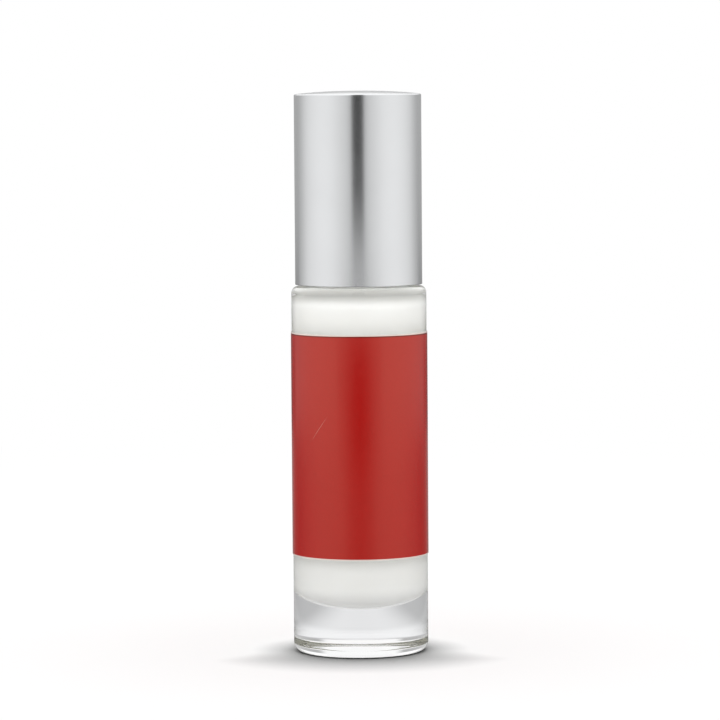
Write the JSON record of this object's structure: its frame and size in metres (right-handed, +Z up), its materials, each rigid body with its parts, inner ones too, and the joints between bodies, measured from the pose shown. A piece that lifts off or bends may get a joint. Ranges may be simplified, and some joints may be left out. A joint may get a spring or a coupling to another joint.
{
  "type": "cosmetic ampoule",
  "caption": "Upright cylindrical serum bottle of thick clear glass with a red wrap label, milky contents, and a finger pump under a straight aluminium pull-off cap.",
  "frame": {"origin": "centre of the bottle's base, on the plane that it stands on", "axes": "+Z up along the bottle's axis; the nozzle and the front of the label face -Y, and the label's seam faces +Y"},
  "size_m": [0.0242, 0.0243, 0.0998],
  "materials": {
    "clear_glass": "polished, clear and colourless",
    "milky_serum": "milky white liquid",
    "red_film": "smooth satin-gloss printed film",
    "satin_aluminium": "satin, anodised silver",
    "natural_plastic": "translucent natural",
    "white_plastic": "moulded white, light gloss",
    "soft_seal": "soft, dull",
    "stainless_steel": "bright drawn wire and ball"
  },
  "bodies": {
    "bottle_body": {"bottle": "clear_glass", "serum": "milky_serum", "label": "red_film"},
    "pump": {"neck_gasket": "soft_seal", "pump_housing": "natural_plastic", "dip_tube": "natural_plastic", "spring_seat": "natural_plastic", "stem_guide": "white_plastic", "return_spring": "stainless_steel"},
    "check_ball": {"inlet_ball": "stainless_steel"},
    "stem_and_rod": {"stem": "white_plastic", "valve_rod": "white_plastic"},
    "wiper": {"piston": "natural_plastic"},
    "button": {"actuator": "white_plastic", "actuator_sleeve": "satin_aluminium", "nozzle_insert": "white_plastic"},
    "screw_closure": {"closure": "white_plastic", "closure_collar": "satin_aluminium"},
    "overcap": {"overcap_shell": "satin_aluminium", "overcap_liner": "natural_plastic"}
  },
  "joints": [
    {"name": "pump_lift", "type": "slide", "parent": "bottle_body", "child": "pump", "axis": [0, 0, 1], "range_m": [0, 0.00424]},
    {"name": "closure_turn", "type": "hinge", "parent": "pump", "child": "screw_closure", "pos_m": [0, 0, 0.0823], "axis": [0, 0, 1], "range_deg": [0, 720]},
    {"name": "cap_pull", "type": "slide", "parent": "screw_closure", "child": "overcap", "axis": [0, 0, 1], "range_m": [0, 0.034]},
    {"name": "actuator_press", "type": "slide", "parent": "pump", "child": "stem_and_rod", "axis": [0, 0, -1], "range_m": [0, 0.004], "stiffness_N_per_m": 800, "springref_m": -0.004, "deforming": ["return_spring"]},
    {"name": "piston_shift", "type": "slide", "parent": "stem_and_rod", "child": "wiper", "axis": [0, 0, 1], "range_m": [0, 0.0005]},
    {"name": "actuator_swivel", "type": "hinge", "parent": "stem_and_rod", "child": "button", "pos_m": [0, 0, 0.0892], "axis": [0, 0, 1], "continuous": true},
    {"name": "ball_lift", "type": "slide", "parent": "pump", "child": "check_ball", "axis": [0, 0, 1], "range_m": [0, 0.0006]}
  ],
  "couplings": [
    {"joint": "pump_lift", "follows": "closure_turn", "m_per_rad": 0.00033689}
  ]
}
